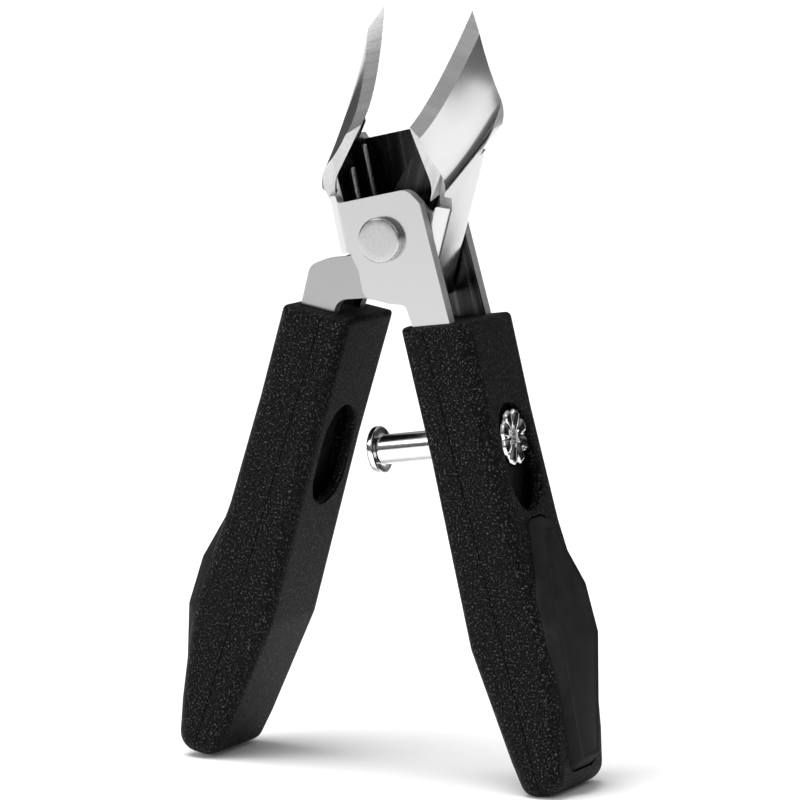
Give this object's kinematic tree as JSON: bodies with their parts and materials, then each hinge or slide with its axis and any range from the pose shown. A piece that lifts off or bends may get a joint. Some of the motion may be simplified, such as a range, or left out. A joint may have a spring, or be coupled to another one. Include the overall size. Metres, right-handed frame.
{
  "type": "nail clipper",
  "caption": "Plier-type nail clipper with slanted channel jaws on one rivet, a return spring, shelled black handles with grip pads and a sliding stud lock.",
  "frame": {"origin": "centre of the box's underside: the clipper stands open on its handle ends", "axes": "+Z towards the jaw tips, -Y is the front, where the flat rivet head is, +X towards the right handle; the rivet's axis is along Y"},
  "size_m": [0.0652, 0.017, 0.1116],
  "materials": {
    "polished_steel": "polished stainless sheet with ground cutting edges",
    "satin_steel": "satin",
    "chrome": "bright",
    "spring_steel": "drawn wire",
    "black_oxide": "blackened steel",
    "black_plastic": "fine grained",
    "black_rubber": "matte"
  },
  "bodies": {
    "outer_lever_body": {"outer_lever": "polished_steel", "pivot_rivet": "chrome", "spring_sleeve": "satin_steel", "return_spring": "spring_steel", "right_handle_outer_shell": "black_plastic", "right_handle_inner_shell": "black_plastic", "right_grip_pad": "black_rubber", "right_tang_pin_upper": "satin_steel", "right_tang_pin_lower": "satin_steel", "right_shell_screw_upper": "satin_steel", "right_shell_screw_lower": "satin_steel"},
    "inner_lever_body": {"inner_lever": "polished_steel", "left_handle_outer_shell": "black_plastic", "left_handle_inner_shell": "black_plastic", "left_grip_pad": "black_rubber", "lock_catch_plate": "black_oxide", "left_tang_pin_upper": "satin_steel", "left_tang_pin_lower": "satin_steel", "left_shell_screw_upper": "satin_steel", "left_shell_screw_lower": "satin_steel"},
    "lock_body": {"lock_stud": "chrome", "lock_screw": "chrome", "lock_slide": "black_plastic", "lock_spring_washer": "spring_steel"}
  },
  "joints": [
    {"name": "lever_hinge", "type": "hinge", "parent": "outer_lever_body", "child": "inner_lever_body", "pos_m": [0.00087, 0, 0.07908], "axis": [0, -1, 0], "range_deg": [0, 24], "stiffness_Nm_per_rad": 0.8, "springref_deg": -22.92, "deforming": ["return_spring"]},
    {"name": "lock_slide_travel", "type": "slide", "parent": "outer_lever_body", "child": "lock_body", "axis": [0.2419, 0, -0.9703], "range_m": [0, 0.0062]}
  ]
}
